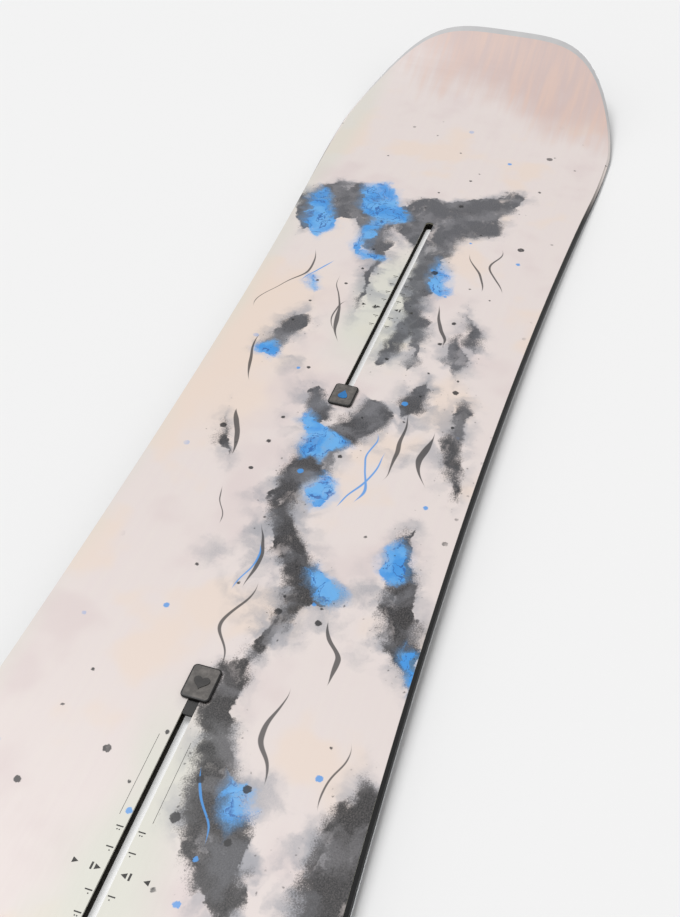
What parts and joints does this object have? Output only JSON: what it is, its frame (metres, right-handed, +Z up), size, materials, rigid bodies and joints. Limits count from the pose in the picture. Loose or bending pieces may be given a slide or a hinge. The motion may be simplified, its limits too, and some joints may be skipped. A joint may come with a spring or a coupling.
{
  "type": "snowboard",
  "caption": "Blunt-nosed cambered snowboard, laminated from its real layers, with two lengthwise binding channels and lift-out plugs; no bindings fitted.",
  "frame": {"origin": "centre of the board's length and width, on the surface it rests on", "axes": "+X along the board to the nose, +Y to the left side, +Z up out of the topsheet"},
  "size_m": [1.506, 0.285, 0.0551],
  "materials": {
    "base": "sintered running base, waxed, fine lengthwise stone grind",
    "steel_edge": "ground steel edge",
    "damper": "thin rubber foil",
    "laminate": "glass fibre in clear resin",
    "poplar": "planed poplar strips",
    "paulownia": "planed paulownia strips",
    "sidewall": "milled black plastic",
    "spacer": "grey moulded plastic rim",
    "channel": "black moulded plastic",
    "channel_floor": "smooth white strip",
    "topsheet": "satin printed skin, pale pink with charcoal and blue ink washes",
    "plug": "soft moulded rubber, dark rim",
    "front_emblem": "raised blue rubber drop",
    "rear_emblem": "raised dark rubber heart"
  },
  "bodies": {
    "board": {"nose_base": "base", "running_base": "base", "tail_base": "base", "left_steel_edge": "steel_edge", "right_steel_edge": "steel_edge", "nose_steel_edge": "steel_edge", "tail_steel_edge": "steel_edge", "left_edge_damper": "damper", "right_edge_damper": "damper", "bottom_laminate": "laminate", "core_poplar": "poplar", "core_paulownia": "paulownia", "left_sidewall": "sidewall", "right_sidewall": "sidewall", "nose_spacer": "spacer", "tail_spacer": "spacer", "front_channel": "channel", "rear_channel": "channel", "front_channel_floor": "channel_floor", "rear_channel_floor": "channel_floor", "top_laminate": "laminate", "topsheet": "topsheet"},
    "front_plug": {"front_plug": "plug", "front_plug_emblem": "front_emblem"},
    "rear_plug": {"rear_plug": "plug", "rear_plug_emblem": "rear_emblem"}
  },
  "joints": [
    {"name": "front_plug_lift", "type": "slide", "parent": "board", "child": "front_plug", "axis": [0, 0, 1], "range_m": [0, 0.03]},
    {"name": "rear_plug_lift", "type": "slide", "parent": "board", "child": "rear_plug", "axis": [0, 0, 1], "range_m": [0, 0.03]}
  ]
}
